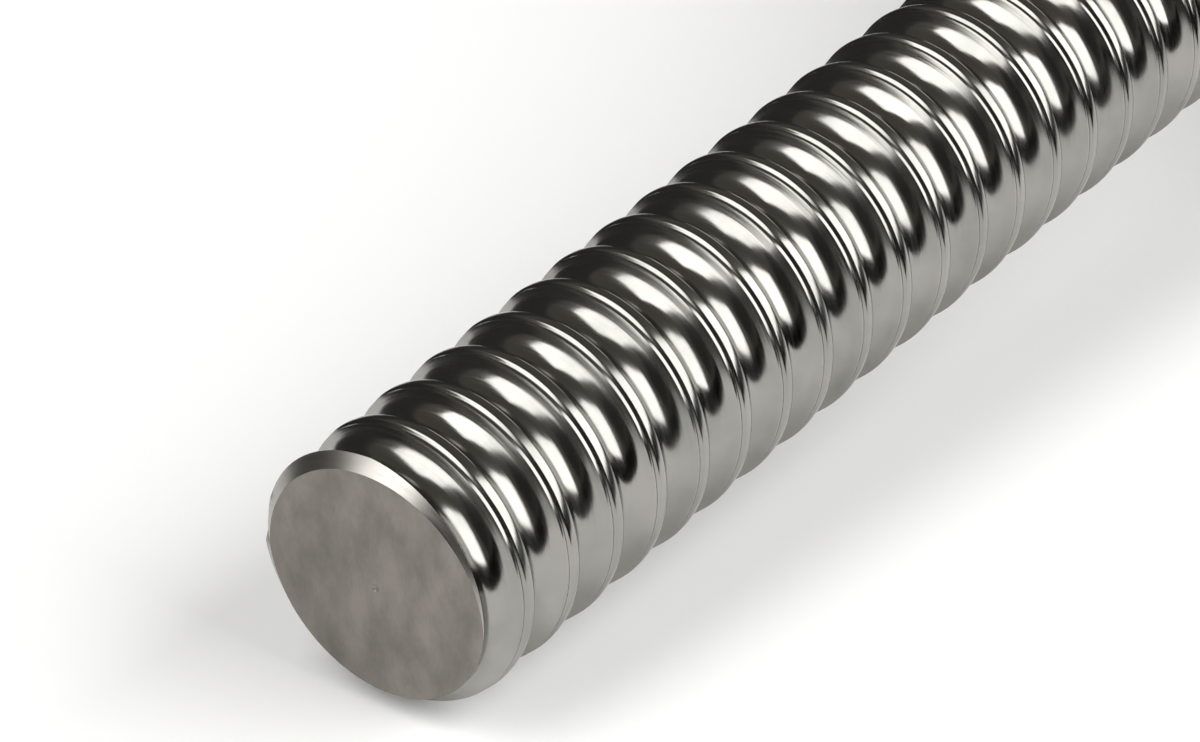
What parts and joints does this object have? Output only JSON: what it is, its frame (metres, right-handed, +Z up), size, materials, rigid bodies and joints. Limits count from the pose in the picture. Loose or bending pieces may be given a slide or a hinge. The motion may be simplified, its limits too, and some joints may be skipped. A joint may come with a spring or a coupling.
{
  "type": "ball screw assembly",
  "caption": "Rolled left-hand ball screw with a flanged ball nut, carried at one end in a fixed-side bearing block; turning the screw moves the nut along it.",
  "frame": {"origin": "middle of the bearing block's base face", "axes": "+X along the screw towards its drive end, +Z up from the base; the screw's axis is 28 mm above the origin"},
  "size_m": [0.238, 0.07, 0.0593],
  "materials": {
    "rolled_steel": "rolled and polished, fine streaks round the screw",
    "nut_steel": "ground",
    "blacked_housing": "black oxide, satin",
    "black_oxide_hardware": "black oxide",
    "deflector_steel": "sintered, dull",
    "ball_steel": "polished",
    "ground_steel": "ground",
    "cage_polyamide": "moulded",
    "wiper_acetal": "moulded",
    "seal_rubber": "matt",
    "nipple_brass": "turned"
  },
  "bodies": {
    "support": {"support_block": "blacked_housing", "holding_lid": "blacked_housing", "lid_screw_1": "black_oxide_hardware", "lid_screw_2": "black_oxide_hardware", "lid_screw_3": "black_oxide_hardware", "lid_screw_4": "black_oxide_hardware", "bearing_1_outer_ring": "ground_steel", "bearing_2_outer_ring": "ground_steel", "oil_seal_front": "seal_rubber", "oil_seal_rear": "seal_rubber"},
    "screw": {"screw_shaft": "rolled_steel", "drive_key": "ground_steel", "bearing_1_inner_ring": "ground_steel", "bearing_2_inner_ring": "ground_steel", "collar_front": "ground_steel", "collar_rear": "ground_steel", "lock_nut": "black_oxide_hardware", "lock_set_screw_1": "black_oxide_hardware", "lock_set_screw_2": "black_oxide_hardware"},
    "bearing_cages": {"bearing_1_cage": "cage_polyamide", "bearing_2_cage": "cage_polyamide", "bearing_1_ball_01": "ball_steel", "bearing_1_ball_02": "ball_steel", "bearing_1_ball_03": "ball_steel", "bearing_1_ball_04": "ball_steel", "bearing_1_ball_05": "ball_steel", "bearing_1_ball_06": "ball_steel", "bearing_1_ball_07": "ball_steel", "bearing_1_ball_08": "ball_steel", "bearing_1_ball_09": "ball_steel", "bearing_1_ball_10": "ball_steel", "bearing_2_ball_01": "ball_steel", "bearing_2_ball_02": "ball_steel", "bearing_2_ball_03": "ball_steel", "bearing_2_ball_04": "ball_steel", "bearing_2_ball_05": "ball_steel", "bearing_2_ball_06": "ball_steel", "bearing_2_ball_07": "ball_steel", "bearing_2_ball_08": "ball_steel", "bearing_2_ball_09": "ball_steel", "bearing_2_ball_10": "ball_steel"},
    "nut": {"nut_body": "nut_steel", "ball_train_1": "ball_steel", "ball_train_2": "ball_steel", "ball_train_3": "ball_steel", "deflector_1": "deflector_steel", "deflector_2": "deflector_steel", "deflector_3": "deflector_steel", "wiper_front": "wiper_acetal", "wiper_rear": "wiper_acetal", "snap_ring_front": "black_oxide_hardware", "snap_ring_rear": "black_oxide_hardware", "grease_nipple": "nipple_brass"}
  },
  "joints": [
    {"name": "screw_spin", "type": "hinge", "parent": "support", "child": "screw", "pos_m": [0, 0, 0.028], "axis": [1, 0, 0], "range_deg": [-8281, 361]},
    {"name": "nut_travel", "type": "slide", "parent": "support", "child": "nut", "axis": [1, 0, 0], "range_m": [-0.115, 0.005]},
    {"name": "cage_spin", "type": "hinge", "parent": "support", "child": "bearing_cages", "pos_m": [0, 0, 0.028], "axis": [1, 0, 0], "range_deg": [-3420, 160]}
  ],
  "couplings": [
    {"joint": "screw_spin", "follows": "nut_travel", "rad_per_m": 1256.6},
    {"joint": "cage_spin", "follows": "nut_travel", "rad_per_m": 517.73}
  ]
}
